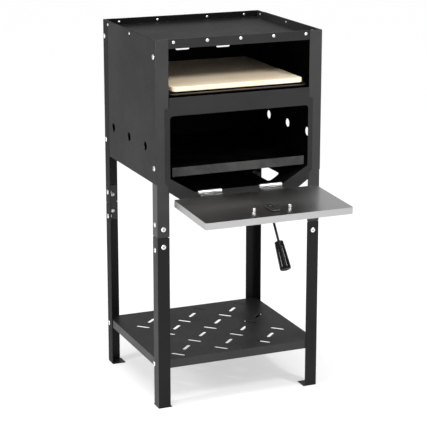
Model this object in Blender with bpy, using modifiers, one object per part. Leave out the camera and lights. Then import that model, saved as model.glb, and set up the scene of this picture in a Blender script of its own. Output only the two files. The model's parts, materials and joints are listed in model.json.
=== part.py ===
"""Free-standing two-tier charcoal pizza oven on four angle-iron legs.

A black sheet-steel body holds a stone shelf above a charcoal tray and an ash hopper.
A stainless pan door hangs on two butt hinges under the firebox mouth and carries a
quarter-turn latch. Metres, +Z up, -Y is the front, the feet rest on Z = 0.
"""

import math

import bmesh
import bpy
from mathutils import Matrix, Vector

MM = 0.001

# Overall frame
HEIGHT = 1000.0
LEG_HALF_X = 235.0
LEG_HALF_Y = 205.0
FLANGE = 34.0
LEG_T = 1.6
SPLIT_Z = 475.0
SPLICE_HALF = 50.0
SPLICE_FLANGE = 28.0
FOOT_SIDE = 38.0
FOOT_T = 2.0
SPLIT_GAP = 2.0
GAP = 0.3
CENTRE_SHIFT = 148.32  # brings the open door and the body together onto Y = 0

# Splice bolts, two in each flange of a splice
BOLT_R = 3.0
BOLT_HEAD_R = 6.4
BOLT_HEAD_T = 2.8
NUT_R = 5.8
NUT_T = 4.5
BOLT_INSET = 17.0
FACE_BOLT_RISE = 24.0
SIDE_BOLT_RISE = 35.0

# Body panels
SHEET = 1.5
PANEL_BOTTOM = 620.0
HOLE_R = 12.0
HOLE_Z = 709.0
HOLE_PITCH = 125.0
JOGGLE_Y = 163.0
EXHAUST_Z = 905.0
EXHAUST_PITCH = 125.0
EXHAUST_SIZE = (43.0, 10.0)
FASCIA_BOTTOM = 975.0

# Top tray
TRAY_Z = 981.0
TRAY_T = 1.2

# Front plate
PLATE_BACK_Y = -(LEG_HALF_Y + GAP)
PLATE_FRONT_Y = PLATE_BACK_Y - SHEET
TONGUE_TOP = 848.0
PLATE_TONGUE_HALF = 199.8
WIDE_TOP = 820.0
WIDE_HALF = 211.5
WIDE_BOTTOM = 622.0
SKIRT_HALF = 203.0
SKIRT_TOP = 613.0
SKIRT_LOW = 598.2
WINDOW_TOP = 800.0
WINDOW_HALF = 198.5
WINDOW_R = 9.0
MOUTH_TOP = 634.0
MOUTH_BOTTOM = 592.5
MOUTH_BOTTOM_HALF = 129.5
KNUCKLE_RECESS = 585.2

# Hopper and charcoal tray
HOPPER_T = 1.2
HOPPER_FRONT = -201.9
HOPPER_BACK = 196.0
HOPPER_SLOT = (37.0, 120.0, 11.0)
HOPPER_SLOT_CENTRE = (135.0, -73.3, 590.1)
COAL_HALF = 190.0
COAL_FRONT = -200.0
COAL_BACK = 186.0
COAL_BOTTOM = 637.0
COAL_TOP = 661.0

# Stone and its rack
STONE_HALF = 187.0
STONE_FRONT = -196.0
STONE_BACK = 180.0
STONE_BOTTOM = 860.8
STONE_T = 12.5
STONE_R = 12.0
RACK_HALF = 196.0
RACK_WIRE_R = 2.0
RACK_LOOP_R = 2.4
LEDGE_TOP = 852.3

# Lower shelf
SHELF_TOP = 134.0
SHELF_LIP = 23.0
SHELF_T = 1.2
SLOT_LENGTH = 41.0
SLOT_WIDTH = 9.5
SLOT_ROW = (45.5, -82.0)
SLOT_STEP = (41.0, 42.0)

# Door, drawn level and then let down by its tilt into the open position
DOOR_TILT = math.radians(2.4)
AXIS_Y = -207.5
AXIS_Z = 591.0
BARREL_R = 5.3
PIN_R = 2.0
HINGE_INNER = 54.8
HINGE_OUTER = 120.4
KNUCKLE_END = 18.0
DOOR_HALF = 205.2
DOOR_BACK = -248.0
DOOR_FRONT = -463.0
DOOR_TOP = 590.2
DOOR_BOTTOM = 572.4
DOOR_T = 1.2
STUD_X = 50.0
STUD_Y = -410.0
STUD_TOP = 599.7

# Latch
LATCH_Y = -402.0
ROD_R = 3.2
ROD_TOP = 601.0
ROD_BEND_Z = 566.0
CRANK_Y = -417.0
CRANK_Z = 564.8
ROD_ANGLE = math.radians(38.0)
GRIP_START = 60.0
GRIP_LENGTH = 76.0
COLLAR_R = 6.0
STRIP_BASE = 593.6
STRIP_T = 2.0
STRIP_HALF = 11.0
STRIP_FRONT = 32.0
STRIP_BACK = 24.0

COLORS = {
    "black_coat": ((0.028, 0.028, 0.030, 1.0), 0.42, 0.0),
    "stainless": ((0.56, 0.55, 0.53, 1.0), 0.25, 1.0),
    "zinc": ((0.62, 0.62, 0.60, 1.0), 0.35, 1.0),
    "stone": ((0.80, 0.70, 0.54, 1.0), 0.85, 0.0),
    "dark_wire": ((0.10, 0.09, 0.08, 1.0), 0.45, 1.0),
    "grip_black": ((0.012, 0.012, 0.013, 1.0), 0.22, 0.0),
}


def clear_scene():
    for obj in list(bpy.data.objects):
        bpy.data.objects.remove(obj, do_unlink=True)


def make_collection(name, hidden=False):
    collection = bpy.data.collections.new(name)
    collection.hide_render = hidden
    bpy.context.scene.collection.children.link(collection)
    return collection


def make_material(name):
    color, roughness, metallic = COLORS[name]
    material = bpy.data.materials.new(name)
    material.use_nodes = True
    shader = material.node_tree.nodes["Principled BSDF"]
    shader.inputs["Base Color"].default_value = color
    shader.inputs["Roughness"].default_value = roughness
    shader.inputs["Metallic"].default_value = metallic
    material.diffuse_color = color
    return material


def new_object(name, bm, material=None):
    """Links the bmesh as an object: a part when it has a material, a hidden cutter when not."""
    bmesh.ops.recalc_face_normals(bm, faces=bm.faces)
    mesh = bpy.data.meshes.new(name)
    bm.to_mesh(mesh)
    bm.free()
    obj = bpy.data.objects.new(name, mesh)
    if material is None:
        CUTTERS.objects.link(obj)
        obj.hide_render = True
        obj.display_type = "WIRE"
    else:
        OVEN.objects.link(obj)
        obj.data.materials.append(MATERIALS[material])
    return obj


def place(axis, u, v, w):
    """A point from two in-plane coordinates and one along the axis, all in millimetres."""
    if axis == "x":
        return Vector((w, u, v)) * MM
    if axis == "y":
        return Vector((u, w, v)) * MM
    return Vector((u, v, w)) * MM


def prism_mesh(outline, low, high, axis):
    bm = bmesh.new()
    bottom = [bm.verts.new(place(axis, u, v, low)) for u, v in outline]
    top = [bm.verts.new(place(axis, u, v, high)) for u, v in outline]
    bm.faces.new(bottom)
    bm.faces.new(top)
    count = len(outline)
    for i in range(count):
        j = (i + 1) % count
        bm.faces.new((bottom[i], bottom[j], top[j], top[i]))
    return bm


def prism(name, outline, low, high, axis, material=None):
    return new_object(name, prism_mesh(outline, low, high, axis), material)


def rectangle(u0, u1, v0, v1, radius=0.0, segments=4):
    """Counter-clockwise rectangle outline with optional rounded corners."""
    if radius == 0.0:
        return [(u0, v0), (u1, v0), (u1, v1), (u0, v1)]
    centres = (
        (u1 - radius, v0 + radius, -90.0),
        (u1 - radius, v1 - radius, 0.0),
        (u0 + radius, v1 - radius, 90.0),
        (u0 + radius, v0 + radius, 180.0),
    )
    outline = []
    for cu, cv, start in centres:
        for k in range(segments + 1):
            angle = math.radians(start + 90.0 * k / segments)
            outline.append((cu + radius * math.cos(angle), cv + radius * math.sin(angle)))
    return outline


def circle(cu, cv, radius, segments=20):
    return [
        (
            cu + radius * math.cos(2 * math.pi * k / segments),
            cv + radius * math.sin(2 * math.pi * k / segments),
        )
        for k in range(segments)
    ]


def stadium(cu, cv, length, width, angle, segments=4):
    """Round-ended slot outline centred on a point and turned by an angle."""
    reach = (length - width) / 2
    outline = []
    for side in (0, 1):
        for k in range(segments + 1):
            turn = math.pi * (side - 0.5) + math.pi * k / segments
            u = (reach if side == 0 else -reach) + width / 2 * math.cos(turn)
            v = width / 2 * math.sin(turn)
            outline.append(
                (
                    cu + u * math.cos(angle) - v * math.sin(angle),
                    cv + u * math.sin(angle) + v * math.cos(angle),
                )
            )
    return outline


def box(name, x0, x1, y0, y1, z0, z1, material=None):
    return prism(name, rectangle(x0, x1, y0, y1), z0, z1, "z", material)


def rounded(obj, width, segments=2, angle=40.0):
    bevel = obj.modifiers.new("edge_round", "BEVEL")
    bevel.width = width * MM
    bevel.segments = segments
    bevel.limit_method = "ANGLE"
    bevel.angle_limit = math.radians(angle)
    return obj


def boolean(obj, other, operation="DIFFERENCE"):
    modifier = obj.modifiers.new(f"{operation.lower()}_{other.name}", "BOOLEAN")
    modifier.operation = operation
    modifier.solver = "EXACT"
    modifier.object = other
    return obj


def cut_outlines(obj, outlines, low, high, axis):
    """Cuts several separate prisms out of a piece with one hidden cutter."""
    bm = bmesh.new()
    for outline in outlines:
        piece = prism_mesh(outline, low, high, axis)
        mesh = bpy.data.meshes.new("joined")
        piece.to_mesh(mesh)
        piece.free()
        bm.from_mesh(mesh)
        bpy.data.meshes.remove(mesh)
    return boolean(obj, new_object(f"cut_{obj.name}_{len(obj.modifiers)}", bm))


def folded_sheet(name, path, low, high, axis, thickness, material):
    """Bent sheet: a centre-line path pulled along an axis and thickened both ways."""
    bm = bmesh.new()
    first = [bm.verts.new(place(axis, u, v, low)) for u, v in path]
    last = [bm.verts.new(place(axis, u, v, high)) for u, v in path]
    for i in range(len(path) - 1):
        bm.faces.new((first[i], first[i + 1], last[i + 1], last[i]))
    obj = new_object(name, bm, material)
    solidify = obj.modifiers.new("thickness", "SOLIDIFY")
    solidify.thickness = thickness * MM
    solidify.offset = 0.0
    solidify.use_even_offset = True
    return obj


def cylinder_mesh(start, end, radius, segments=12):
    bm = bmesh.new()
    axis = end - start
    turn = axis.to_track_quat("Z", "Y").to_matrix().to_4x4()
    middle = Matrix.Translation((start + end) / 2 * MM)
    bmesh.ops.create_cone(
        bm,
        cap_ends=True,
        segments=segments,
        radius1=radius * MM,
        radius2=radius * MM,
        depth=axis.length * MM,
        matrix=middle @ turn,
    )
    return bm


def cylinder(name, start, end, radius, segments=12, material=None):
    return new_object(name, cylinder_mesh(Vector(start), Vector(end), radius, segments), material)


def rod(name, points, radius, closed, material, segments=2):
    """Round bar along a path, made as a bevelled curve and turned into a mesh."""
    curve = bpy.data.curves.new(name, "CURVE")
    curve.dimensions = "3D"
    curve.bevel_depth = radius * MM
    curve.bevel_resolution = segments
    curve.use_fill_caps = not closed
    spline = curve.splines.new("POLY")
    spline.points.add(len(points) - 1)
    for target, point in zip(spline.points, points):
        target.co = (*(Vector(point) * MM), 1.0)
    spline.use_cyclic_u = closed
    guide = bpy.data.objects.new(name + "_guide", curve)
    CUTTERS.objects.link(guide)
    bpy.context.view_layer.update()
    graph = bpy.context.evaluated_depsgraph_get()
    mesh = bpy.data.meshes.new_from_object(guide.evaluated_get(graph))
    bpy.data.objects.remove(guide, do_unlink=True)
    bpy.data.curves.remove(curve)
    bm = bmesh.new()
    bm.from_mesh(mesh)
    bpy.data.meshes.remove(mesh)
    bmesh.ops.remove_doubles(bm, verts=bm.verts, dist=1e-6)
    return new_object(name, bm, material)


def arc_path(corners, radius, steps=5):
    """Path through corner points with each inner corner replaced by an arc."""
    path = [Vector(corners[0])]
    for before, corner, after in zip(corners, corners[1:], corners[2:]):
        corner = Vector(corner)
        into = (corner - Vector(before)).normalized()
        out = (Vector(after) - corner).normalized()
        half = into.angle(out) / 2
        setback = radius * math.tan(half)
        start = corner - into * setback
        end = corner + out * setback
        for k in range(steps + 1):
            t = k / steps
            path.append((1 - t) ** 2 * start + 2 * t * (1 - t) * corner + t**2 * end)
    path.append(Vector(corners[-1]))
    return path


def attach(obj, holder):
    """Parents a moving piece and its cutters to the empty on its joint axis, in place."""
    cutters = [modifier.object for modifier in obj.modifiers if modifier.type == "BOOLEAN"]
    for piece in [obj] + cutters:
        piece.parent = holder
        piece.matrix_parent_inverse = holder.matrix_world.inverted()
    return obj


def axis_empty(name, location):
    empty = bpy.data.objects.new(name, None)
    empty.empty_display_size = 0.03
    empty.location = Vector(location) * MM
    OVEN.objects.link(empty)
    bpy.context.view_layer.update()
    return empty


def make_legs():
    """Each leg is an upper and a lower angle with a shorter angle nested across the joint."""
    middle = LEG_T / 2
    for front, side_y in (("front", -1), ("back", 1)):
        for hand, side_x in (("left", -1), ("right", 1)):
            label = f"{front}_{hand}"
            x = side_x * (LEG_HALF_X - middle)
            y = side_y * (LEG_HALF_Y - middle)
            path = [
                (x, side_y * (LEG_HALF_Y - FLANGE)),
                (x, y),
                (side_x * (LEG_HALF_X - FLANGE), y),
            ]
            upper = folded_sheet(
                f"leg_upper_{label}", path, SPLIT_Z + SPLIT_GAP, HEIGHT, "z", LEG_T, "black_coat"
            )
            lower = folded_sheet(
                f"leg_lower_{label}", path, FOOT_T / 2, SPLIT_Z, "z", LEG_T, "black_coat"
            )
            xs = sorted((side_x * LEG_HALF_X, side_x * (LEG_HALF_X - FOOT_SIDE)))
            ys = sorted((side_y * LEG_HALF_Y, side_y * (LEG_HALF_Y - FOOT_SIDE)))
            boolean(lower, box(f"foot_{label}", *xs, *ys, 0.0, FOOT_T), "UNION")

            nest = LEG_T + GAP + middle
            x = side_x * (LEG_HALF_X - nest)
            y = side_y * (LEG_HALF_Y - nest)
            path = [
                (x, side_y * (LEG_HALF_Y - nest - SPLICE_FLANGE)),
                (x, y),
                (side_x * (LEG_HALF_X - nest - SPLICE_FLANGE), y),
            ]
            splice = folded_sheet(
                f"leg_splice_{label}",
                path,
                SPLIT_Z - SPLICE_HALF,
                SPLIT_Z + SPLICE_HALF,
                "z",
                LEG_T,
                "black_coat",
            )
            bolt_splice(label, side_x, side_y, upper, lower, splice)


def bolt_splice(label, side_x, side_y, upper, lower, splice):
    """Two bolts in each flange: one into the upper leg and one into the lower leg."""
    x = side_x * (LEG_HALF_X - BOLT_INSET)
    y = side_y * (LEG_HALF_Y - BOLT_INSET)
    for level, leg, rise in (("upper", upper, 1), ("lower", lower, -1)):
        face_z = SPLIT_Z + rise * FACE_BOLT_RISE
        side_z = SPLIT_Z + rise * SIDE_BOLT_RISE
        face_ends = sorted((side_y * (LEG_HALF_Y - 8.0), side_y * (LEG_HALF_Y + 5.0)))
        side_ends = sorted((side_x * (LEG_HALF_X - 8.0), side_x * (LEG_HALF_X + 5.0)))
        for sheet in (leg, splice):
            cut_outlines(sheet, [circle(x, face_z, BOLT_R + GAP, 8)], *face_ends, "y")
            cut_outlines(sheet, [circle(y, side_z, BOLT_R + GAP, 8)], *side_ends, "x")
        face_seat = Vector((x, side_y * LEG_HALF_Y, face_z))
        side_seat = Vector((side_x * LEG_HALF_X, y, side_z))
        make_bolt(f"bolt_{label}_face_{level}", face_seat, Vector((0, -side_y, 0)))
        make_bolt(f"bolt_{label}_side_{level}", side_seat, Vector((-side_x, 0, 0)))


def make_bolt(name, seat, inward):
    """Truss-head bolt with its nut, clamping a leg and its splice."""
    clamp = 2 * LEG_T + GAP
    nut_start = clamp + GAP
    nut_end = nut_start + NUT_T
    bolt = cylinder(
        name, seat - inward * 2.0, seat + inward * (nut_end + 1.5), BOLT_R, 8, "zinc"
    )
    head = cylinder(
        f"{name}_head",
        seat - inward * (GAP + BOLT_HEAD_T),
        seat - inward * GAP,
        BOLT_HEAD_R,
        12,
    )
    nut = cylinder(
        f"{name}_nut", seat + inward * nut_start, seat + inward * nut_end, NUT_R, 6
    )
    boolean(bolt, rounded(head, 1.2, 1), "UNION")
    boolean(bolt, nut, "UNION")


def make_side_panels():
    """Outside the front legs, then a joggle that takes the sheet inside the back legs."""
    outer = LEG_HALF_X + GAP + SHEET / 2
    inner = LEG_HALF_X - LEG_T - GAP - SHEET / 2
    for hand, side in (("left", -1), ("right", 1)):
        path = [
            (side * outer, -LEG_HALF_Y + 0.5),
            (side * outer, JOGGLE_Y),
            (side * inner, JOGGLE_Y + 4.5),
            (side * inner, LEG_HALF_Y - 4.0),
        ]
        panel = folded_sheet(
            f"side_panel_{hand}", path, PANEL_BOTTOM, HEIGHT, "z", SHEET, "black_coat"
        )
        holes = [circle(k * HOLE_PITCH, HOLE_Z, HOLE_R) for k in (-1, 0, 1)]
        reach = sorted((side * (LEG_HALF_X - 15.0), side * (LEG_HALF_X + 15.0)))
        cut_outlines(panel, holes, *reach, "x")


def make_back_panel():
    face = LEG_HALF_Y - LEG_T - GAP
    panel = prism(
        "back_panel",
        rectangle(-231.2, 231.2, PANEL_BOTTOM, HEIGHT),
        face - 1.4,
        face,
        "y",
        "black_coat",
    )
    slots = [
        stadium(k * EXHAUST_PITCH, EXHAUST_Z, *EXHAUST_SIZE, 0.0) for k in (-1, 0, 1)
    ]
    cut_outlines(panel, slots, face - 10.0, face + 10.0, "y")


def make_front_plate():
    """Plate with a round-cornered firebox window that narrows to the ash mouth."""
    half = [
        (152.0, 563.0),
        (SKIRT_HALF, SKIRT_LOW),
        (SKIRT_HALF, SKIRT_TOP),
        (WIDE_HALF, WIDE_BOTTOM),
        (WIDE_HALF, WIDE_TOP),
        (PLATE_TONGUE_HALF, WIDE_TOP),
        (PLATE_TONGUE_HALF, TONGUE_TOP),
    ]
    outline = half + [(-u, v) for u, v in reversed(half)]
    plate = prism(
        "front_plate", outline, PLATE_FRONT_Y, PLATE_BACK_Y, "y", "black_coat"
    )
    corner = rectangle(-WINDOW_HALF, WINDOW_HALF, 0.0, WINDOW_TOP, WINDOW_R)
    upper = [(u, v) for u, v in corner if v > MOUTH_TOP]
    window = [(WINDOW_HALF, MOUTH_TOP)] + upper + [(-WINDOW_HALF, MOUTH_TOP)]
    window += [(-MOUTH_BOTTOM_HALF, MOUTH_BOTTOM), (MOUTH_BOTTOM_HALF, MOUTH_BOTTOM)]
    cut_outlines(plate, [window], PLATE_FRONT_Y - 5.0, PLATE_BACK_Y + 5.0, "y")
    recesses = []
    for side in (-1, 1):
        us = sorted((side * (HINGE_INNER - 0.7), side * (HINGE_OUTER + 0.7)))
        recesses.append(rectangle(*us, KNUCKLE_RECESS, MOUTH_BOTTOM + 3.0))
    cut_outlines(plate, recesses, PLATE_FRONT_Y - 5.0, PLATE_BACK_Y + 5.0, "y")


def make_fascia():
    """Strip across the top of the stone opening with a short return at its lower edge."""
    y = -(LEG_HALF_Y - LEG_T - GAP - SHEET / 2)
    path = [(y, HEIGHT), (y, FASCIA_BOTTOM + SHEET / 2), (y + 10.0, FASCIA_BOTTOM + SHEET / 2)]
    folded_sheet("front_fascia", path, -231.2, 231.2, "x", SHEET, "black_coat")


def tray_outline(inset):
    """The tray steps in at the back, where the side panels joggle inwards."""
    wide = 233.1 - inset
    narrow = 231.2 - inset
    step = JOGGLE_Y - 2.0 - inset
    front = -201.3 + inset
    back = 201.4 - inset
    half = [(wide, front), (wide, step), (narrow, step), (narrow, back)]
    return half + [(-u, v) for u, v in reversed(half)]


def make_top_tray():
    tray = prism("top_tray", tray_outline(0.0), TRAY_Z, HEIGHT, "z", "black_coat")
    cut_outlines(tray, [tray_outline(TRAY_T)], TRAY_Z + TRAY_T, HEIGHT + 5.0, "z")


def make_rack():
    """Side ledges, and a wire rack whose cross wires carry the stone."""
    inside = LEG_HALF_X + GAP - 0.3 - SHEET / 2
    for hand, side in (("left", -1), ("right", 1)):
        path = [
            (side * inside, 872.0),
            (side * inside, LEDGE_TOP - SHEET / 2),
            (side * 188.0, LEDGE_TOP - SHEET / 2),
        ]
        folded_sheet(f"rack_ledge_{hand}", path, -168.0, 160.0, "y", SHEET, "black_coat")
    loop_z = LEDGE_TOP + GAP + RACK_LOOP_R
    wire_z = loop_z + RACK_LOOP_R + RACK_WIRE_R - 0.9
    loop = rectangle(-RACK_HALF, RACK_HALF, -199.5, 188.0, 16.0, 5)
    rack = rod(
        "stone_rack", [(u, v, loop_z) for u, v in loop], RACK_LOOP_R, True, "dark_wire"
    )
    wires = 9
    first = -178.0
    pitch = 43.0
    for k in range(wires):
        y = first + k * pitch
        wire = cylinder(
            f"wire_{k}",
            (-RACK_HALF - 1.0, y, wire_z),
            (RACK_HALF + 1.0, y, wire_z),
            RACK_WIRE_R,
            8,
        )
        boolean(rack, wire, "UNION")


def make_stone():
    stone = prism(
        "pizza_stone",
        rectangle(-STONE_HALF, STONE_HALF, STONE_FRONT, STONE_BACK, STONE_R, 5),
        STONE_BOTTOM,
        STONE_BOTTOM + STONE_T,
        "z",
        "stone",
    )
    rounded(stone, 1.5, 2, 50.0)


def make_hopper():
    """Ash hopper bent from one sheet, its back, and the rails that carry the coal tray."""
    top = 633.0
    low = 566.8
    half = [(230.6, 655.0), (230.6, top), (203.0, top), (98.0, low)]
    path = half + [(-u, v) for u, v in reversed(half)]
    hopper = folded_sheet(
        "ash_hopper", path, HOPPER_FRONT, HOPPER_BACK, "y", HOPPER_T, "black_coat"
    )
    across, along, corner = HOPPER_SLOT
    x, y, z = HOPPER_SLOT_CENTRE
    slope = math.atan2(top - low, 203.0 - 98.0)
    for side in (-1, 1):
        slot = rectangle(-across / 2, across / 2, -along / 2, along / 2, corner)
        bm = prism_mesh(slot, -12.0, 12.0, "z")
        turn = Matrix.Rotation(-side * slope, 4, "Y")
        middle = Matrix.Translation(Vector((side * x, y, z)) * MM)
        bmesh.ops.transform(bm, matrix=middle @ turn, verts=bm.verts)
        boolean(hopper, new_object(f"hopper_slot_{side}", bm))
    outline = [(99.0, low - 0.6), (204.0, top - 0.6), (204.0, 650.0)]
    outline += [(-u, v) for u, v in reversed(outline)]
    prism(
        "hopper_back",
        outline,
        HOPPER_BACK + GAP,
        HOPPER_BACK + GAP + HOPPER_T,
        "y",
        "black_coat",
    )
    for hand, side in (("left", -1), ("right", 1)):
        path = [
            (side * 174.0, COAL_BOTTOM - GAP - 0.75),
            (side * 186.0, COAL_BOTTOM - GAP - 0.75),
            (side * 186.0, 625.4),
        ]
        folded_sheet(f"tray_rail_{hand}", path, -196.0, 190.0, "y", SHEET, "black_coat")


def make_coal_tray():
    """Lift-out charcoal tray with a slotted floor."""
    tray = box(
        "charcoal_tray",
        -COAL_HALF,
        COAL_HALF,
        COAL_FRONT,
        COAL_BACK,
        COAL_BOTTOM,
        COAL_TOP,
        "black_coat",
    )
    wall = 1.3
    inner = rectangle(
        -COAL_HALF + wall, COAL_HALF - wall, COAL_FRONT + wall, COAL_BACK - wall
    )
    cut_outlines(tray, [inner], COAL_BOTTOM + wall, COAL_TOP + 5.0, "z")
    slots = [
        stadium(u, v, 84.0, 8.0, 0.0, 3)
        for u in (-115.0, 0.0, 115.0)
        for v in (-150.0, -100.0, -50.0, 0.0, 50.0, 100.0, 150.0)
    ]
    cut_outlines(tray, slots, COAL_BOTTOM - 5.0, COAL_BOTTOM + 5.0, "z")


def shelf_slots():
    """Diagonal rows in which every other slot is turned a quarter turn."""
    slots = []
    for row in range(-2, 3):
        for step in range(-4, 5):
            x = row * SLOT_ROW[0] + step * SLOT_STEP[0]
            y = row * SLOT_ROW[1] + step * SLOT_STEP[1]
            if abs(x) > 180.0 or abs(y) > 175.0:
                continue
            turn = math.radians(45.0 if step % 2 else -45.0)
            slots.append(stadium(x, y, SLOT_LENGTH, SLOT_WIDTH, turn, 3))
    return slots


def make_shelf():
    """Shelf pan turned down at its edges, with the lips cut back at the legs."""
    half_x = LEG_HALF_X - LEG_T - GAP
    half_y = LEG_HALF_Y - LEG_T - GAP
    bottom = SHELF_TOP - SHELF_LIP
    shelf = box(
        "lower_shelf", -half_x, half_x, -half_y, half_y, bottom, SHELF_TOP, "black_coat"
    )
    inner = rectangle(
        -half_x + SHELF_T, half_x - SHELF_T, -half_y + SHELF_T, half_y - SHELF_T
    )
    cut_outlines(shelf, [inner], bottom - 5.0, SHELF_TOP - SHELF_T, "z")
    notch = 8.0
    corners = []
    for side_x in (-1, 1):
        for side_y in (-1, 1):
            xs = sorted((side_x * (half_x - notch), side_x * (half_x + 5.0)))
            ys = sorted((side_y * (half_y - notch), side_y * (half_y + 5.0)))
            corners.append(rectangle(*xs, *ys))
    cut_outlines(shelf, corners, bottom - 5.0, SHELF_TOP - 3.0, "z")
    cut_outlines(shelf, shelf_slots(), SHELF_TOP - 5.0, SHELF_TOP + 5.0, "z")


def make_hinge(hand, side, door_axis):
    """Butt hinge: a leaf fixed behind the plate, a strap to the door and a pin."""
    inner, outer = sorted((side * HINGE_INNER, side * HINGE_OUTER))
    middle_low = inner + KNUCKLE_END
    middle_high = outer - KNUCKLE_END
    leaf_t = 1.2
    bore = PIN_R + GAP

    leaf_y = AXIS_Y + BARREL_R - leaf_t / 2
    leaf = prism(
        f"hinge_leaf_{hand}",
        rectangle(leaf_y - leaf_t / 2, leaf_y + leaf_t / 2, 568.5, AXIS_Z),
        inner,
        outer,
        "x",
        "zinc",
    )
    barrel = cylinder(
        f"barrel_{hand}", (inner, AXIS_Y, AXIS_Z), (outer, AXIS_Y, AXIS_Z), BARREL_R, 20
    )
    boolean(leaf, barrel, "UNION")
    boolean(
        leaf,
        box(
            f"knuckle_gap_{hand}",
            middle_low - GAP,
            middle_high + GAP,
            AXIS_Y - 9.0,
            AXIS_Y + 9.0,
            AXIS_Z - 6.0,
            AXIS_Z + 9.0,
        ),
    )
    hole = cylinder(
        f"pin_bore_{hand}", (inner - 5, AXIS_Y, AXIS_Z), (outer + 5, AXIS_Y, AXIS_Z), bore, 16
    )
    boolean(leaf, hole)

    strap_z = AXIS_Z - BARREL_R + leaf_t / 2
    path = [
        (AXIS_Y, strap_z),
        (DOOR_BACK + GAP + leaf_t / 2, strap_z),
        (DOOR_BACK + GAP + leaf_t / 2, DOOR_BOTTOM + 2.0),
    ]
    strap = folded_sheet(f"hinge_strap_{hand}", path, inner, outer, "x", leaf_t, "zinc")
    for low, high in ((inner - 5.0, middle_low), (middle_high, outer + 5.0)):
        clearance = box(
            f"strap_gap_{hand}_{int(low)}",
            low,
            high,
            AXIS_Y - BARREL_R - 1.0,
            AXIS_Y + 9.0,
            AXIS_Z - 9.0,
            AXIS_Z + 9.0,
        )
        boolean(strap, clearance)
    knuckle = cylinder(
        f"knuckle_{hand}",
        (middle_low, AXIS_Y, AXIS_Z),
        (middle_high, AXIS_Y, AXIS_Z),
        BARREL_R,
        20,
    )
    boolean(strap, knuckle, "UNION")
    boolean(strap, hole)
    attach(strap, door_axis)
    cylinder(
        f"hinge_pin_{hand}",
        (inner - 0.6, AXIS_Y, AXIS_Z),
        (outer + 0.6, AXIS_Y, AXIS_Z),
        PIN_R,
        14,
        "zinc",
    )


def make_door(door_axis):
    """Stainless pan closed flush by a liner, with two capped studs and the latch bush."""
    shell = prism(
        "door_shell",
        rectangle(-DOOR_HALF, DOOR_HALF, DOOR_FRONT, DOOR_BACK, 5.0, 3),
        DOOR_BOTTOM,
        DOOR_TOP,
        "z",
        "stainless",
    )
    inner = rectangle(
        -DOOR_HALF + DOOR_T,
        DOOR_HALF - DOOR_T,
        DOOR_FRONT + DOOR_T,
        DOOR_BACK - DOOR_T,
        3.8,
        3,
    )
    cut_outlines(shell, [inner], DOOR_BOTTOM + DOOR_T, DOOR_TOP + 5.0, "z")
    edge = DOOR_T + GAP
    liner = prism(
        "door_liner",
        rectangle(
            -DOOR_HALF + edge,
            DOOR_HALF - edge,
            DOOR_FRONT + edge,
            DOOR_BACK - edge,
            3.5,
            3,
        ),
        DOOR_TOP - DOOR_T,
        DOOR_TOP,
        "z",
        "stainless",
    )
    holes = [circle(side * STUD_X, STUD_Y, 3.3, 12) for side in (-1, 1)]
    holes.append(circle(0.0, LATCH_Y, ROD_R + GAP, 16))
    for skin in (shell, liner):
        cut_outlines(skin, holes, DOOR_BOTTOM - 5.0, DOOR_TOP + 5.0, "z")
        attach(skin, door_axis)

    for hand, side in (("left", -1), ("right", 1)):
        x = side * STUD_X
        stud = cylinder(
            f"door_stud_{hand}",
            (x, STUD_Y, DOOR_BOTTOM - 2.0),
            (x, STUD_Y, DOOR_TOP + 5.0),
            3.0,
            12,
            "zinc",
        )
        head = cylinder(
            f"stud_head_{hand}",
            (x, STUD_Y, DOOR_BOTTOM - GAP - 3.2),
            (x, STUD_Y, DOOR_BOTTOM - GAP),
            6.0,
            16,
        )
        cap = cylinder(
            f"stud_cap_{hand}", (x, STUD_Y, DOOR_TOP + GAP), (x, STUD_Y, STUD_TOP), 3.9, 16
        )
        boolean(stud, rounded(head, 1.0), "UNION")
        boolean(stud, rounded(cap, 2.0, 3), "UNION")
        attach(stud, door_axis)

    bush = cylinder(
        "latch_bush",
        (0.0, LATCH_Y, DOOR_BOTTOM - GAP - 2.0),
        (0.0, LATCH_Y, DOOR_BOTTOM - GAP),
        9.0,
        20,
        "zinc",
    )
    bore = cylinder(
        "bush_bore",
        (0.0, LATCH_Y, DOOR_BOTTOM - 9.0),
        (0.0, LATCH_Y, DOOR_BOTTOM + 9.0),
        ROD_R + GAP,
        16,
    )
    boolean(bush, bore)
    attach(bush, door_axis)


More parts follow.
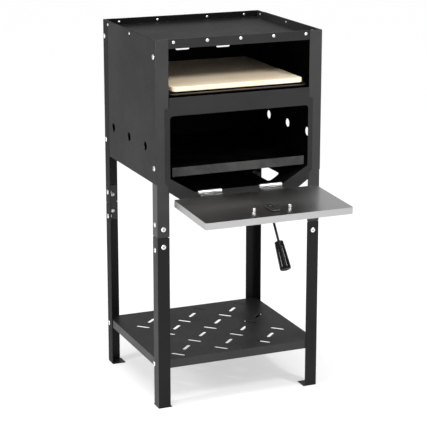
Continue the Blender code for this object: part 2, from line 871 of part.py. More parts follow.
def make_latch(latch_axis):
    """Cranked rod with a grip outside, and a flat strip between collar and nut inside."""
    reach = GRIP_START + GRIP_LENGTH - 8.0
    drop = Vector((0.0, -math.sin(ROD_ANGLE), -math.cos(ROD_ANGLE)))
    bend = Vector((0.0, LATCH_Y, ROD_BEND_Z))
    crank = Vector((0.0, CRANK_Y, CRANK_Z))
    corners = [Vector((0.0, LATCH_Y, ROD_TOP)), bend, crank, crank + drop * reach]
    latch_rod = rod("latch_rod", arc_path(corners, 5.0), ROD_R, False, "black_coat", 3)
    collar = cylinder(
        "rod_collar",
        (0.0, LATCH_Y, DOOR_TOP + GAP),
        (0.0, LATCH_Y, STRIP_BASE - GAP),
        COLLAR_R,
        16,
    )
    boolean(latch_rod, collar, "UNION")
    attach(latch_rod, latch_axis)

    bore_r = ROD_R + GAP
    bore_depth = GRIP_LENGTH - 7.0
    profile = (
        (0.0, bore_depth),
        (bore_r, bore_depth),
        (bore_r, 0.0),
        (10.0, 0.0),
        (11.0, 1.6),
        (13.9, GRIP_LENGTH - 5.0),
        (13.4, GRIP_LENGTH - 1.8),
        (12.0, GRIP_LENGTH),
        (0.0, GRIP_LENGTH),
    )
    bm = bmesh.new()
    points = [bm.verts.new(Vector((r, 0.0, -w)) * MM) for r, w in profile]
    for a, b in zip(points, points[1:]):
        bm.edges.new((a, b))
    bmesh.ops.spin(
        bm,
        geom=bm.verts[:] + bm.edges[:],
        cent=(0.0, 0.0, 0.0),
        axis=(0.0, 0.0, 1.0),
        angle=2 * math.pi,
        steps=24,
        use_merge=True,
    )
    bmesh.ops.remove_doubles(bm, verts=bm.verts, dist=1e-6)
    turn = Matrix.Rotation(-ROD_ANGLE, 4, "X")
    start = crank + drop * GRIP_START
    bmesh.ops.transform(bm, matrix=Matrix.Translation(start * MM) @ turn, verts=bm.verts)
    grip = new_object("latch_grip", bm, "grip_black")
    attach(grip, latch_axis)

    strip = prism(
        "latch_tongue",
        rectangle(
            -STRIP_HALF, STRIP_HALF, LATCH_Y - STRIP_FRONT, LATCH_Y + STRIP_BACK, 2.0, 3
        ),
        STRIP_BASE,
        STRIP_BASE + STRIP_T,
        "z",
        "black_coat",
    )
    hole = [circle(0.0, LATCH_Y, ROD_R + GAP, 14)]
    cut_outlines(strip, hole, STRIP_BASE - 2.0, STRIP_BASE + STRIP_T + 2.0, "z")
    attach(strip, latch_axis)

    nut_bottom = STRIP_BASE + STRIP_T + GAP
    nut = prism(
        "latch_nut",
        circle(0.0, LATCH_Y, 5.8, 6),
        nut_bottom,
        nut_bottom + 4.0,
        "z",
        "black_coat",
    )
    cut_outlines(nut, hole, nut_bottom - 2.0, nut_bottom + 7.0, "z")
    attach(nut, latch_axis)


clear_scene()
OVEN = make_collection("pizza_oven")
CUTTERS = make_collection("cutters", hidden=True)
MATERIALS = {name: make_material(name) for name in COLORS}

make_legs()
make_side_panels()
make_back_panel()
make_front_plate()
make_fascia()
make_top_tray()
make_rack()
make_stone()
make_hopper()
make_coal_tray()
make_shelf()
DOOR_AXIS = axis_empty("door_axis", (0.0, AXIS_Y, AXIS_Z))
LATCH_AXIS = axis_empty("latch_axis", (0.0, LATCH_Y, DOOR_BOTTOM))
attach(LATCH_AXIS, DOOR_AXIS)
make_hinge("left", -1, DOOR_AXIS)
make_hinge("right", 1, DOOR_AXIS)
make_door(DOOR_AXIS)
make_latch(LATCH_AXIS)
DOOR_AXIS.rotation_euler.x = DOOR_TILT
for root in list(OVEN.objects) + list(CUTTERS.objects):
    if root.parent is None:
        root.location.y += CENTRE_SHIFT * MM
bpy.context.view_layer.update()
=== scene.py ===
"""Studio scene of a charcoal pizza oven: finishes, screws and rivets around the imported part."""

import json
import math

import bmesh
import bpy
from mathutils import Matrix, Vector


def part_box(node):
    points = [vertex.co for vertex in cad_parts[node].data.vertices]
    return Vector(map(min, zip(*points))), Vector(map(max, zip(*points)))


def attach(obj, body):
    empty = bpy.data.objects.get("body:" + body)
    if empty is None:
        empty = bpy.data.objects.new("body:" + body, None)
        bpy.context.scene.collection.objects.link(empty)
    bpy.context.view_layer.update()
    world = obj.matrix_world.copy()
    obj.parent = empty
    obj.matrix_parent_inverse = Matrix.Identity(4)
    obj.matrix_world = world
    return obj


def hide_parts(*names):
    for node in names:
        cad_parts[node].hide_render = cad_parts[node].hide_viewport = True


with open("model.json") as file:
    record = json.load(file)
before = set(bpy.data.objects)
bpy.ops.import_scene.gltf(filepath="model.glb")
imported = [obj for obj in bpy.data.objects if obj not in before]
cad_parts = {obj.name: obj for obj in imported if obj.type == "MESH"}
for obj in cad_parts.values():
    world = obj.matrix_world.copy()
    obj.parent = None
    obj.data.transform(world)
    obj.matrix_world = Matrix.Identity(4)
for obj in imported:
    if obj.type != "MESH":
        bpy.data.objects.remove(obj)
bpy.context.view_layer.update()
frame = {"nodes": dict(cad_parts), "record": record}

MM = 0.001

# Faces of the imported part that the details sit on
HINGE_AXIS = sum(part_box("hinge_pin_left"), Vector()) / 2
COAL_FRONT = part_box("charcoal_tray")[0].y
LEG_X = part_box("leg_upper_front_right")[1].x
FRONT_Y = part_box("leg_upper_front_right")[0].y
BACK_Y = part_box("leg_upper_back_right")[1].y
BODY_Y = (FRONT_Y + BACK_Y) / 2
TOP_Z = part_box("leg_upper_front_right")[1].z
PANEL_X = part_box("side_panel_right")[1].x
BACK_PANEL_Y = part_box("back_panel")[1].y
FASCIA_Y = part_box("front_fascia")[0].y
TRAY_BACK_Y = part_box("top_tray")[1].y
SHELF_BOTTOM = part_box("lower_shelf")[0].z

# Screws: radius and height of a head, then rows and insets
HEAD_RADIUS = 7.2 * MM
HEAD_HEIGHT = 3.0 * MM
SIDE_HEAD_HEIGHT = 2.4 * MM
SIDE_SCREW_ROWS = (955.0 * MM, 662.0 * MM)
BACK_SCREW_ROWS = (955.0 * MM, 640.0 * MM)
SHELF_SCREW_RISE = 7.0 * MM
FRONT_SCREW_INSET = 15.0 * MM
SHELF_SCREW_INSET = 32.0 * MM
BACK_SCREW_INSET = 10.0 * MM
BOLT_INSET = 17.0 * MM

# Splice bolts: head radius and height, nut radius, height and its depth behind the head
BOLT_HEAD = (6.9 * MM, 2.8 * MM)
BOLT_NUT = (5.8 * MM, 4.5 * MM)
BOLT_GRIP = 4.1 * MM

# Rivets: radius and height of a head, then their places
FASCIA_RIVET = (4.4 * MM, 1.7 * MM)
RIM_RIVET = (3.7 * MM, 1.4 * MM)
FASCIA_RIVET_DROP = 8.5 * MM
FASCIA_RIVET_PITCH = 94.0 * MM
FASCIA_RIVET_SHIFT = 2.0 * MM
RIM_RIVET_DROP = 9.5 * MM
RIM_SHEET = 1.3 * MM
BACK_RIVETS_X = (-190.0 * MM, -76.0 * MM, 75.0 * MM, 189.0 * MM)
SIDE_RIVETS_INSIDE = ((-155.0 * MM, 233.1 * MM), (10.0 * MM, 233.1 * MM), (180.0 * MM, 231.2 * MM))
SIDE_RIVETS_OUTSIDE = (-12.0 * MM, 161.0 * MM)

# Latch grip: it slopes forward from the vertical and covers the last part of the rod
ROD_R = 3.2 * MM
GRIP_SLOPE = math.radians(35.6)
GRIP_ON_ROD = 68.0 * MM
GRIP_FLUTES = 6
FLUTE_DEPTH = 0.22

# A face counts as facing an axis above this cosine
FACING = 0.7

# Studio: each area light has a name, place, aim, size and power
AREA_LIGHTS = (
    ("key_left", (-2.6, -1.6, 2.2), (0.0, 0.1, 0.6), (1.6, 2.0), 8.0),
    ("fill_front", (0.9, -3.0, 1.6), (0.0, 0.0, 0.6), (1.8, 1.4), 12.0),
    ("strip_left", (-2.08, -0.25, 1.15), (0.0, -0.31, 0.49), (0.14, 0.50), 22.0),
    ("strip_right", (0.80, -1.55, 2.10), (0.0, -0.31, 0.49), (0.14, 0.50), 22.0),
)
SKY_STRENGTH = 0.49
SUN_STRENGTH = 1.2
SUN_SPREAD = math.radians(35.0)
SUN_TURN = (math.radians(18.0), math.radians(-12.0), 0.0)
SPOT_PLACE = (-0.75, -2.0, 2.35)
SPOT_AIM = (0.0, 0.0, 0.89)
SPOT_POWER = 345.0
SPOT_CONE = math.radians(16.0)
SPOT_RADIUS = 0.45
FLOOR_SIZE = 40.0
FLOOR_DROP = 0.0005

# Camera: place, downward pitch, turn to the right, lens and upward shift
CAMERA_PLACE = (-1.6727, -3.8547, 1.638)
CAMERA_PITCH = 0.2499
CAMERA_YAW = 0.398
CAMERA_LENS = 135.8
CAMERA_SHIFT = -0.05


# ---------------------------------------------------------------- node helpers


class Graph:
    """Short calls for building one material's node tree."""

    def __init__(self, name):
        self.material = bpy.data.materials.new(name)
        self.material.use_nodes = True
        self.tree = self.material.node_tree
        self.shader = self.tree.nodes["Principled BSDF"]
        self.place = self.add("ShaderNodeTexCoord").outputs["Object"]

    def add(self, kind, **settings):
        node = self.tree.nodes.new(kind)
        for key, value in settings.items():
            setattr(node, key, value)
        return node

    def link(self, source, target):
        self.tree.links.new(source, target)

    def put(self, socket, value):
        """Links an output, or sets a plain value."""
        if isinstance(value, bpy.types.NodeSocket):
            self.link(value, socket)
        else:
            socket.default_value = value

    def stretch(self, scale, turn=(0.0, 0.0, 0.0)):
        node = self.add("ShaderNodeMapping")
        node.inputs["Scale"].default_value = scale
        node.inputs["Rotation"].default_value = turn
        self.link(self.place, node.inputs["Vector"])
        return node.outputs["Vector"]

    def noise(self, scale, detail=3.0, roughness=0.5, vector=None, distortion=0.0):
        node = self.add("ShaderNodeTexNoise")
        node.inputs["Scale"].default_value = scale
        node.inputs["Detail"].default_value = detail
        node.inputs["Roughness"].default_value = roughness
        node.inputs["Distortion"].default_value = distortion
        self.link(vector or self.place, node.inputs["Vector"])
        return node.outputs["Fac"]

    def cells(self, scale):
        node = self.add("ShaderNodeTexVoronoi")
        node.inputs["Scale"].default_value = scale
        self.link(self.place, node.inputs["Vector"])
        return node.outputs["Distance"]

    def between(self, value, low, high, to_low=0.0, to_high=1.0):
        node = self.add("ShaderNodeMapRange")
        self.put(node.inputs["Value"], value)
        node.inputs["From Min"].default_value = low
        node.inputs["From Max"].default_value = high
        node.inputs["To Min"].default_value = to_low
        node.inputs["To Max"].default_value = to_high
        return node.outputs["Result"]

    def math(self, operation, a, b):
        node = self.add("ShaderNodeMath", operation=operation)
        self.put(node.inputs[0], a)
        self.put(node.inputs[1], b)
        return node.outputs["Value"]

    def mix(self, factor, a, b, blend="MIX"):
        node = self.add("ShaderNodeMix", data_type="RGBA", blend_type=blend)
        self.put(node.inputs["Factor"], factor)
        self.put(node.inputs["A"], a)
        self.put(node.inputs["B"], b)
        return node.outputs["Result"]

    def edge(self, radius):
        """1 along sharp edges, 0 on the flats."""
        bevel = self.add("ShaderNodeBevel", samples=4)
        bevel.inputs["Radius"].default_value = radius
        geometry = self.add("ShaderNodeNewGeometry")
        dot = self.add("ShaderNodeVectorMath", operation="DOT_PRODUCT")
        self.link(bevel.outputs["Normal"], dot.inputs[0])
        self.link(geometry.outputs["Normal"], dot.inputs[1])
        return self.between(dot.outputs["Value"], 0.98, 0.80)

    def bump(self, height, strength, distance, base=None):
        node = self.add("ShaderNodeBump")
        node.inputs["Strength"].default_value = strength
        node.inputs["Distance"].default_value = distance
        self.link(height, node.inputs["Height"])
        if base is not None:
            self.link(base, node.inputs["Normal"])
        return node.outputs["Normal"]

    def finish(self, color, roughness, normal=None, **sockets):
        self.put(self.shader.inputs["Base Color"], color)
        self.put(self.shader.inputs["Roughness"], roughness)
        if normal is not None:
            self.link(normal, self.shader.inputs["Normal"])
        for name, value in sockets.items():
            self.shader.inputs[name.replace("_", " ")].default_value = value
        return self.material


def gray(value, warm=0.0):
    return (value * (1.0 + warm), value, value * (1.0 - warm), 1.0)


# ------------------------------------------------------------------- finishes


def black_coat(name="black_coat", level=1.0, sheen=0.42, edge_wear_and_highlight=0.085, sooty=False):
    """Satin powder coat: fine orange peel, faint mottling and lighter worn edges; level scales the
    colour so that copies can paint light and shade, and a high edge colour paints a highlight on
    the edges.
    """
    g = Graph(name)
    blotch = g.noise(7.0, 4.0, 0.6)
    dust = g.noise(160.0, 4.0, 0.7)
    grain = g.noise(1400.0, 2.0, 0.6)
    # level scales the coat's colour: the copies below use it to paint the light and shade on each
    # group of faces
    base = g.mix(
        g.between(blotch, 0.35, 0.68),
        gray(0.0145 * level, 0.01),
        gray(0.0205 * level, 0.015),
    )
    speck = g.between(dust, 0.56, 0.74, 0.0, 0.30)
    color = g.mix(speck, base, gray(0.034 * level, 0.03))
    # Lighter edge colour: worn edges, and a painted highlight on the edges where that colour is
    # set high
    rub = g.math("MULTIPLY", g.edge(0.0011), g.between(g.noise(55.0, 5.0, 0.7), 0.38, 0.62))
    color = g.mix(g.math("MULTIPLY", rub, 0.6), color, gray(edge_wear_and_highlight, 0.02))
    roughness = g.math(
        "ADD",
        g.between(blotch, 0.3, 0.7, 0.38, 0.48),
        g.between(dust, 0.4, 0.7, -0.02, 0.06),
    )
    if sooty:
        soot = g.between(g.noise(11.0, 5.0, 0.65, distortion=0.6), 0.40, 0.62)
        color = g.mix(soot, color, gray(0.0035, 0.05))
        roughness = g.math("ADD", roughness, g.between(soot, 0.0, 1.0, 0.05, 0.34))
    rounded = g.add("ShaderNodeBevel", samples=4)
    rounded.inputs["Radius"].default_value = 0.0016
    normal = g.bump(dust, 0.05, 0.0003, rounded.outputs["Normal"])
    normal = g.bump(grain, 0.10, 0.00012, normal)
    return g.finish(color, roughness, normal, Specular_IOR_Level=sheen)


def stainless(name="stainless", level=1.0):
    """Brushed sheet: hair lines along X, soft smudges and brighter edges."""
    g = Graph(name)
    hair = g.noise(1.0, 3.0, 0.7, g.stretch((30.0, 2600.0, 2600.0)))
    bands = g.noise(1.0, 4.0, 0.6, g.stretch((8.0, 700.0, 700.0)))
    smudge = g.noise(9.0, 4.0, 0.55, distortion=0.4)
    base = g.mix(g.between(hair, 0.3, 0.7), gray(0.59 * level, 0.004), gray(0.63 * level, 0.002))
    base = g.mix(g.between(smudge, 0.45, 0.75, 0.0, 0.12), base, gray(0.54 * level, 0.008))
    color = g.mix(g.math("MULTIPLY", g.edge(0.0010), 0.5), base, gray(0.80 * level))
    roughness = g.math(
        "ADD",
        g.between(bands, 0.3, 0.7, 0.27, 0.29),
        g.between(smudge, 0.4, 0.7, 0.0, 0.03),
    )
    normal = g.bump(hair, 0.02, 0.00001)
    return g.finish(color, roughness, normal, Metallic=1.0, Anisotropic=0.35)


def zinc(name="zinc", dull=0.0, level=1.0):
    """Bright zinc plate: small crystal mottling, pale blue and yellow tints, scuffs."""
    g = Graph(name)
    crystal = g.cells(900.0)
    tint = g.noise(210.0, 3.0, 0.6)
    cold, warm = gray(0.90 * level, -0.01), gray(0.94 * level, 0.02)
    base = g.mix(g.between(tint, 0.35, 0.65), cold, warm)
    base = g.mix(g.between(crystal, 0.2, 0.8, 0.0, 0.25), base, gray(0.66 * level))
    scuff = g.math("MULTIPLY", g.edge(0.0006), 0.6)
    color = g.mix(scuff, base, gray(0.97 * level))
    roughness = g.between(g.noise(420.0, 4.0, 0.65), 0.3, 0.7, 0.24 + dull, 0.40 + dull)
    normal = g.bump(crystal, 0.06, 0.00008)
    return g.finish(color, roughness, normal, Metallic=1.0)


def baking_stone():
    """Fired cordierite: sandy cream with darker grit, pores and rubbed edges."""
    g = Graph("baking_stone")
    cloud = g.noise(6.5, 5.0, 0.6)
    sand = g.noise(520.0, 4.0, 0.75)
    grit = g.cells(640.0)
    pore = g.between(g.cells(260.0), 0.10, 0.02)
    color = g.mix(g.between(cloud, 0.3, 0.7), (0.74, 0.58, 0.38, 1.0), (0.86, 0.73, 0.54, 1.0))
    color = g.mix(g.between(sand, 0.42, 0.70, 0.0, 0.45), color, (0.93, 0.84, 0.68, 1.0))
    color = g.mix(g.between(grit, 0.16, 0.05, 0.0, 0.35), color, (0.46, 0.33, 0.20, 1.0))
    color = g.mix(g.math("MULTIPLY", pore, 0.5), color, (0.30, 0.21, 0.13, 1.0))
    color = g.mix(g.math("MULTIPLY", g.edge(0.002), 0.4), color, (0.95, 0.88, 0.74, 1.0))
    normal = g.bump(sand, 0.25, 0.0004, g.bump(pore, -0.4, 0.0005))
    return g.finish(color, g.between(sand, 0.3, 0.7, 0.78, 0.95), normal)


def dark_wire():
    """Drawn wire, browned by heat: streaks along the bar and small pits."""
    g = Graph("dark_wire")
    streak = g.noise(1.0, 4.0, 0.65, g.stretch((60.0, 60.0, 500.0)))
    heat = g.noise(14.0, 4.0, 0.6)
    cool, browned = (0.022, 0.018, 0.015, 1.0), (0.050, 0.038, 0.028, 1.0)
    color = g.mix(g.between(heat, 0.35, 0.7), cool, browned)
    color = g.mix(g.between(streak, 0.5, 0.75, 0.0, 0.4), color, (0.085, 0.072, 0.060, 1.0))
    normal = g.bump(streak, 0.15, 0.00015)
    return g.finish(color, g.between(streak, 0.3, 0.7, 0.40, 0.58), normal, Metallic=0.7)


def grip_plastic():
    """Glossy moulded black: faint flow marks, hairline scuffs, a clear top layer."""
    g = Graph("grip_plastic")
    flow = g.noise(1.0, 3.0, 0.6, g.stretch((90.0, 90.0, 14.0), (0.672, 0.0, 0.0)))
    scuff = g.noise(1.0, 4.0, 0.7, g.stretch((1500.0, 60.0, 700.0)))
    color = g.mix(g.between(flow, 0.35, 0.7), gray(0.0010), gray(0.0020))
    rub = g.math("MULTIPLY", g.edge(0.0008), g.between(scuff, 0.4, 0.6))
    color = g.mix(g.math("MULTIPLY", rub, 0.35), color, gray(0.06))
    normal = g.bump(flow, 0.04, 0.0002)
    roughness = g.between(scuff, 0.35, 0.75, 0.08, 0.14)
    return g.finish(
        color, roughness, normal, Specular_IOR_Level=0.09, Coat_Weight=0.05, Coat_Roughness=0.08
    )


def studio_floor():
    """Pale seamless floor with a faint paper tooth."""
    g = Graph("studio_floor")
    tooth = g.noise(60.0, 3.0, 0.6)
    color = g.mix(g.between(tooth, 0.3, 0.7), gray(0.56), gray(0.58))
    return g.finish(
        color,
        0.95,
        g.bump(tooth, 0.02, 0.0004),
        Specular_IOR_Level=0.1,
        Emission_Color=(1.0, 1.0, 1.0, 1.0),
        Emission_Strength=0.505,
    )


COAT = black_coat()
# Darker copies of the coat: painted shade on the tops, the lower shelf, the side panels, the
# fronts, the lower front legs, the back legs and the latch rod
COAT_TOP_SHADE = black_coat("black_coat_top_painted_shade", 0.50, 0.13, 0.06)
COAT_SHELF_SHADE = black_coat("black_coat_shelf_painted_shade", 0.8, 0.22, 0.07)
COAT_SIDE_SHADE = black_coat("black_coat_side", 0.52, 0.09, 0.06)
COAT_FRONT_SHADE = black_coat("black_coat_front_painted_shade", 0.68, 0.24, 0.07)
COAT_LOW_SHADE = black_coat("black_coat_low_painted_shade", 0.52, 0.16, 0.06)
COAT_BACK_SHADE = black_coat("black_coat_back_painted_shade", 0.45, 0.16, 0.04)
# Very dark copies of the coat: painted shade inside the oven and on the charcoal tray, with soot
# mottling
COAT_INSIDE_SHADE = black_coat("black_coat_inside_painted_shade", 0.16, 0.04, 0.004, sooty=True)
COAT_SOOT_AND_SHADE = black_coat("black_coat_soot_and_painted_shade", 0.05, 0.0, 0.002, sooty=True)
# Lighter copy of the coat: painted light on the charcoal tray's front lip
COAT_TRAY_LIP_LIGHT = black_coat("black_coat_tray_lip_painted_light", 1.5, 0.50, 0.08, sooty=True)
# Lighter copy of the coat: painted highlight on the side panels' front edges and the upper front
# legs' side flanges
COAT_EDGE_HIGHLIGHT = black_coat("black_coat_edge_painted_highlight", 1.4, 0.62)
# Very dark copy of the coat: painted shade on the back legs' sides and inside the top tray's back
# rim
COAT_DEEP_SHADE = black_coat("black_coat_deep_painted_shade", 0.25, 0.05, 0.15)
# Coat with a bright edge colour: painted highlight along the latch tongue's edges
COAT_TONGUE_HIGHLIGHT = black_coat("black_coat_tongue_painted_highlight", 1.0, 0.50, 0.60)
STEEL = stainless()
# Darker copy of the stainless: painted shade on the door pan's rim faces
STEEL_RIM_SHADE = stainless("stainless_rim_painted_shade", 0.76)
ZINC = zinc()
# Darker, duller copy of the zinc: painted shade in the screws' cross recesses and the rivets'
# rings
ZINC_RECESS_SHADE = zinc("zinc_recess_painted_shade", 0.12, 0.18)
STONE = baking_stone()
WIRE = dark_wire()
GRIP = grip_plastic()

SLOT_FINISH = {
    "black_coat": COAT,
    "stainless": STEEL,
    "zinc": ZINC,
    "stone": STONE,
    "dark_wire": WIRE,
    "grip_black": GRIP,
}
# node name prefixes and a finish that differs from their material slot's; most of these finishes
# paint shade or highlight
NODE_FINISH = (
    (("back_panel", "ash_hopper", "hopper_back", "tray_rail", "rack_ledge"), COAT_INSIDE_SHADE),
    (("charcoal_tray",), COAT_SOOT_AND_SHADE),
    (("side_panel",), COAT_SIDE_SHADE),
    (("latch_tongue",), COAT_TONGUE_HIGHLIGHT),
    (("latch_rod",), COAT_BACK_SHADE),
)
ROUND_NODES = ("latch_rod", "door_stud", "hinge_pin")


def faces_inward(side):
    """Picks a side panel's inner faces."""
    return lambda normal, place: normal.x * side < -0.3


def faces_side(normal, place):
    """Picks the faces that look to the left or the right."""
    return abs(normal.x) > FACING


def faces_front(normal, place):
    """Picks the faces that look to the front or the back."""
    return abs(normal.y) > FACING


def faces_up(normal, place):
    """Picks the level faces that look up."""
    return normal.z > FACING


def is_tray_lip(normal, place):
    """Picks the front lip of the charcoal tray, without the walls of its slots."""
    return normal.y < -FACING and place.y < COAL_FRONT + 1.0 * MM


def is_back_rim_inside(normal, place):
    """Picks the inner face of the top tray's back rim."""
    return normal.y < -FACING and place.y > BODY_Y


def off_barrel(normal, place):
    """Picks the flat of a hinge strap, away from its knuckle."""
    return math.hypot(place.y - HINGE_AXIS.y, place.z - HINGE_AXIS.z) > 6.0 * MM


def is_rim(normal, place):
    """Picks the edges of a level pan."""
    return abs(normal.z) < FACING


# node name prefix, which of its polygons, and their finish; most of these second finishes are
# copies of the coat that paint light and shade by the faces' direction
SECOND_FINISH = (
    ("side_panel_left", faces_inward(-1), COAT_INSIDE_SHADE),
    ("side_panel_right", faces_inward(1), COAT_INSIDE_SHADE),
    ("leg_lower_front", faces_side, COAT_SHELF_SHADE),
    ("leg_lower_front", faces_front, COAT_LOW_SHADE),
    ("leg_lower_back", faces_front, COAT_BACK_SHADE),
    ("leg_lower_back", faces_side, COAT_DEEP_SHADE),
    ("leg_upper_back", faces_side, COAT_DEEP_SHADE),
    ("leg_upper_back", faces_front, COAT_BACK_SHADE),
    ("leg_upper_front", faces_side, COAT_EDGE_HIGHLIGHT),
    ("top_tray", faces_up, COAT_TOP_SHADE),
    ("lower_shelf", faces_up, COAT_SHELF_SHADE),
    ("front_plate", faces_front, COAT_FRONT_SHADE),
    ("front_fascia", faces_front, COAT_FRONT_SHADE),
    ("charcoal_tray", is_tray_lip, COAT_TRAY_LIP_LIGHT),
    ("top_tray", is_back_rim_inside, COAT_DEEP_SHADE),
    ("side_panel", faces_front, COAT_EDGE_HIGHLIGHT),
    ("hinge_strap", off_barrel, COAT),
    ("door_shell", is_rim, STEEL_RIM_SHADE),
)


def paint_frame():
    """Every CAD node takes the finish of its material slot, and some faces a second one."""
    slot_of = {row["node"]: row["material_slot"] for row in frame["record"]["subparts"]}
    for name, node in frame["nodes"].items():
        finish = SLOT_FINISH[slot_of[name]]
        for prefixes, own_finish in NODE_FINISH:
            if name.startswith(prefixes):
                finish = own_finish
        node.data.materials.clear()
        node.data.materials.append(finish)
        turn = node.matrix_world.to_3x3()
        for prefix, picks, second in SECOND_FINISH:
            if not name.startswith(prefix):
                continue
            node.data.materials.append(second)
            for polygon in node.data.polygons:
                if picks(turn @ polygon.normal, node.matrix_world @ polygon.center):
                    polygon.material_index = len(node.data.materials) - 1
        for polygon in node.data.polygons:
            polygon.use_smooth = polygon.use_smooth or name.startswith(ROUND_NODES)


# ------------------------------------------------------------------ fasteners


def object_from(bm, name, finishes, body):
    """Makes a visible piece from bm that rides on a body of the part."""
    mesh = bpy.data.meshes.new(name)
    bm.normal_update()
    bm.to_mesh(mesh)
    bm.free()
    for finish in finishes:
        mesh.materials.append(finish)
    obj = bpy.data.objects.new(name, mesh)
    bpy.context.scene.collection.objects.link(obj)
    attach(obj, body)
    return obj


def lathe(bm, profile, matrix, segments=20):
    """Turns a (radius, height) profile about the local Z axis."""
    rings = []
    for radius, height in profile:
        if radius == 0.0:
            rings.append([bm.verts.new(matrix @ Vector((0.0, 0.0, height)))])
            continue
        ring = []
        for k in range(segments):
            turn = 2 * math.pi * k / segments
            point = Vector((radius * math.cos(turn), radius * math.sin(turn), height))
            ring.append(bm.verts.new(matrix @ point))
        rings.append(ring)
    for low, high in zip(rings, rings[1:]):
        for k in range(segments):
            a, b = low[k % len(low)], low[(k + 1) % len(low)]
            c, d = high[(k + 1) % len(high)], high[k % len(high)]
            corners = [v for i, v in enumerate((a, b, c, d)) if v not in (a, b, c, d)[:i]]
            if len(corners) > 2:
                face = bm.faces.new(corners)
                face.smooth = True


def seat_matrix(seat, outward, spin=0.0):
    """Local Z along outward, with its origin on the seat."""
    turn = Vector(outward).to_track_quat("Z", "Y").to_matrix().to_4x4()
    return Matrix.Translation(seat) @ turn @ Matrix.Rotation(spin, 4, "Z")


def truss_head(bm, seat, outward, radius, height, spin):
    """Low domed head with a cross recess cut into its crown."""
    matrix = seat_matrix(seat, outward, spin)
    steps, segments = 6, 24
    profile = [(radius * 0.97, 0.0), (radius, height * 0.12)]
    for k in range(1, steps):
        turn = k / steps * math.pi / 2
        profile.append((radius * math.cos(turn) ** 0.9, height * (0.12 + 0.88 * math.sin(turn))))
    crown = [row for row in profile if row[0] > radius * 0.50]
    lathe(bm, crown, matrix, segments)
    recess_cap(bm, crown[-1], height, matrix, segments)


def recess_cap(bm, rim, height, matrix, segments):
    """Closes the head with a cap whose cross-shaped middle is pressed in; the sunk faces take the
    second finish, which paints the shade in the recess.
    """
    rim_radius, rim_height = rim
    rings = 6
    sink = 0.55 * height

    def in_recess(turn, share):
        on_arm = abs(math.cos(2 * turn)) ** 8 > 0.5
        return share < (0.86 if on_arm else 0.36)

    previous = None
    for ring in range(rings):
        share = 1.0 - ring / rings
        radius = rim_radius * share
        dome = rim_height + (height - rim_height) * (1.0 - share * share)
        row, sunk = [], []
        for k in range(segments):
            turn = 2 * math.pi * k / segments
            sunk.append(in_recess(turn, share))
            point = (radius * math.cos(turn), radius * math.sin(turn), dome - sink * sunk[k])
            row.append(bm.verts.new(matrix @ Vector(point)))
        if previous is not None:
            for k in range(segments):
                nxt = (k + 1) % segments
                face = bm.faces.new((previous[k], previous[nxt], row[nxt], row[k]))
                face.smooth = True
                face.material_index = int(sunk[k])
        previous = row
    centre = bm.verts.new(matrix @ Vector((0.0, 0.0, height - sink)))
    for k in range(segments):
        face = bm.faces.new((previous[k], previous[(k + 1) % segments], centre))
        face.material_index = 1


def hex_nut(bm, seat, outward, radius, height, spin):
    """Chamfered hexagon with the threaded end of its bolt."""
    matrix = seat_matrix(seat, outward, spin)
    hexagon = [(radius * 0.92, 0.0), (radius, height * 0.10), (radius, height * 0.86)]
    hexagon += [(radius * 0.9, height), (radius * 0.52, height)]
    lathe(bm, hexagon, matrix, 6)
    thread = [(radius * 0.50, height * 0.6)]
    for k in range(6):
        thread.append((radius * (0.50 if k % 2 else 0.46), height * (1.0 + 0.06 * k)))
    thread.append((0.0, height * 1.32))
    lathe(bm, thread, matrix, 16)


def rivet_head(bm, seat, outward, radius, height):
    """Blind rivet: a flat dome with its broken mandrel in a sunk ring in the middle; the ring
    takes the second finish, which paints it dark as shade.
    """
    matrix = seat_matrix(seat, outward)
    profile = [(radius, 0.0), (radius * 0.98, height * 0.35), (radius * 0.82, height * 0.78)]
    profile += [(radius * 0.55, height), (radius * 0.36, height)]
    lathe(bm, profile, matrix, 20)
    before = len(bm.faces)
    ring = [(radius * 0.36, height), (radius * 0.33, height * 0.4), (radius * 0.24, height * 0.4)]
    lathe(bm, ring, matrix, 20)
    bm.faces.ensure_lookup_table()
    for face in bm.faces[before:]:
        face.material_index = 1
    mandrel = [(radius * 0.24, height * 0.4), (radius * 0.21, height * 0.9), (0.0, height)]
    lathe(bm, mandrel, matrix, 20)


def spin_of(index):
    """A different but repeatable turn for each screw."""
    return (index * 2.399) % (2 * math.pi)


def dress_splice_bolts():
    """Detailed heads and nuts stand for the plain CAD splice bolts."""
    bm = bmesh.new()
    names = sorted(n for n in frame["nodes"] if n.startswith("bolt_"))
    for index, name in enumerate(names):
        low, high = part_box(name)
        middle = (low + high) / 2
        axis = 0 if "_side_" in name else 1
        outward = Vector((0.0, 0.0, 0.0))
        outward[axis] = 1.0 if middle[axis] > (0.0, BODY_Y)[axis] else -1.0
        seat = middle.copy()
        end = high[axis] if outward[axis] > 0 else low[axis]
        seat[axis] = end - outward[axis] * BOLT_HEAD[1]
        truss_head(bm, seat, outward, *BOLT_HEAD, spin_of(index))
        hex_nut(bm, seat - outward * BOLT_GRIP, -outward, *BOLT_NUT, spin_of(index + 5))
    obj = object_from(bm, "splice_bolts", (ZINC, ZINC_RECESS_SHADE), "frame")
    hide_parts(*names)


